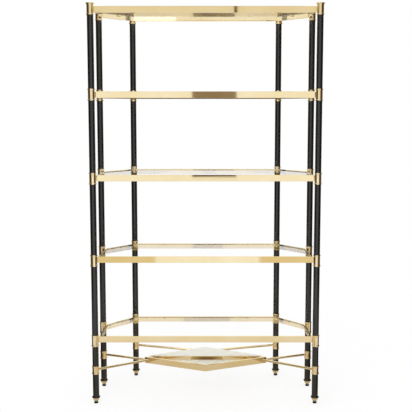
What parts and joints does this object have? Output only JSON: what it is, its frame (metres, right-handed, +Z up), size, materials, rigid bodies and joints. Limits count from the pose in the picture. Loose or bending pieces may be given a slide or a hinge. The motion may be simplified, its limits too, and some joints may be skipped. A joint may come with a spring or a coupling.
{
  "type": "etagere",
  "caption": "Tall free-standing etagere: black tube posts with brass collars and caps, brass-framed glass shelves, and crossed stretcher rods round a diamond frame.",
  "frame": {"origin": "centre of the footprint on the floor, under the glides", "axes": "+Z up, +X along the shelves, -Y towards the front and +Y towards the chamfered back"},
  "size_m": [1.172, 0.436, 2.0335],
  "materials": {
    "brass": "polished, lightly lacquered",
    "black_lacquer": "satin black",
    "clear_glass": "clear, polished edges",
    "etched_glass": "pale, satin etched",
    "black_plastic": "moulded",
    "steel": "zinc plated",
    "clear_pad": "clear soft pad"
  },
  "bodies": {
    "etagere_frame": {"post_front_left": "black_lacquer", "cap_front_left": "brass", "foot_ferrule_front_left": "brass", "stretcher_rod_front_left": "brass", "post_front_right": "black_lacquer", "cap_front_right": "brass", "foot_ferrule_front_right": "brass", "stretcher_rod_front_right": "brass", "post_middle_right": "black_lacquer", "cap_middle_right": "brass", "foot_ferrule_middle_right": "brass", "stretcher_rod_middle_right": "brass", "post_rear_right": "black_lacquer", "cap_rear_right": "brass", "foot_ferrule_rear_right": "brass", "stretcher_rod_rear_right": "brass", "post_rear_left": "black_lacquer", "cap_rear_left": "brass", "foot_ferrule_rear_left": "brass", "stretcher_rod_rear_left": "brass", "post_middle_left": "black_lacquer", "cap_middle_left": "brass", "foot_ferrule_middle_left": "brass", "stretcher_rod_middle_left": "brass", "leveller_inserts": "steel", "glass_pads": "clear_pad", "stretcher_collars": "brass", "diamond_frame": "brass", "diamond_crossbar": "brass", "shelf_frame_5": "brass", "shelf_collars_5": "brass", "shelf_frame_4": "brass", "shelf_collars_4": "brass", "shelf_frame_3": "brass", "shelf_collars_3": "brass", "shelf_frame_2": "brass", "shelf_collars_2": "brass", "shelf_frame_1": "brass", "shelf_collars_1": "brass"},
    "leveller_front_left": {"leveller_stem_front_left": "steel", "leveller_glide_front_left": "black_plastic"},
    "leveller_front_right": {"leveller_stem_front_right": "steel", "leveller_glide_front_right": "black_plastic"},
    "leveller_middle_right": {"leveller_stem_middle_right": "steel", "leveller_glide_middle_right": "black_plastic"},
    "leveller_rear_right": {"leveller_stem_rear_right": "steel", "leveller_glide_rear_right": "black_plastic"},
    "leveller_rear_left": {"leveller_stem_rear_left": "steel", "leveller_glide_rear_left": "black_plastic"},
    "leveller_middle_left": {"leveller_stem_middle_left": "steel", "leveller_glide_middle_left": "black_plastic"},
    "shelf_pane_1": {"shelf_glass_1": "clear_glass"},
    "shelf_pane_2": {"shelf_glass_2": "clear_glass"},
    "shelf_pane_3": {"shelf_glass_3": "clear_glass"},
    "shelf_pane_4": {"shelf_glass_4": "clear_glass"},
    "shelf_pane_5": {"shelf_glass_5": "clear_glass"},
    "diamond_pane_front": {"diamond_plate_front": "etched_glass"},
    "diamond_pane_rear": {"diamond_plate_rear": "etched_glass"}
  },
  "joints": [
    {"name": "leveller_front_left_slide", "type": "slide", "parent": "etagere_frame", "child": "leveller_front_left", "axis": [0, 0, -1], "range_m": [0, 0.01]},
    {"name": "leveller_front_right_slide", "type": "slide", "parent": "etagere_frame", "child": "leveller_front_right", "axis": [0, 0, -1], "range_m": [0, 0.01]},
    {"name": "leveller_middle_right_slide", "type": "slide", "parent": "etagere_frame", "child": "leveller_middle_right", "axis": [0, 0, -1], "range_m": [0, 0.01]},
    {"name": "leveller_rear_right_slide", "type": "slide", "parent": "etagere_frame", "child": "leveller_rear_right", "axis": [0, 0, -1], "range_m": [0, 0.01]},
    {"name": "leveller_rear_left_slide", "type": "slide", "parent": "etagere_frame", "child": "leveller_rear_left", "axis": [0, 0, -1], "range_m": [0, 0.01]},
    {"name": "leveller_middle_left_slide", "type": "slide", "parent": "etagere_frame", "child": "leveller_middle_left", "axis": [0, 0, -1], "range_m": [0, 0.01]},
    {"name": "shelf_pane_1_lift", "type": "slide", "parent": "etagere_frame", "child": "shelf_pane_1", "axis": [0, 0, 1], "range_m": [0, 0.06]},
    {"name": "shelf_pane_2_lift", "type": "slide", "parent": "etagere_frame", "child": "shelf_pane_2", "axis": [0, 0, 1], "range_m": [0, 0.06]},
    {"name": "shelf_pane_3_lift", "type": "slide", "parent": "etagere_frame", "child": "shelf_pane_3", "axis": [0, 0, 1], "range_m": [0, 0.06]},
    {"name": "shelf_pane_4_lift", "type": "slide", "parent": "etagere_frame", "child": "shelf_pane_4", "axis": [0, 0, 1], "range_m": [0, 0.06]},
    {"name": "shelf_pane_5_lift", "type": "slide", "parent": "etagere_frame", "child": "shelf_pane_5", "axis": [0, 0, 1], "range_m": [0, 0.06]},
    {"name": "diamond_pane_front_lift", "type": "slide", "parent": "etagere_frame", "child": "diamond_pane_front", "axis": [0, 0, 1], "range_m": [0, 0.04]},
    {"name": "diamond_pane_rear_lift", "type": "slide", "parent": "etagere_frame", "child": "diamond_pane_rear", "axis": [0, 0, 1], "range_m": [0, 0.04]}
  ]
}
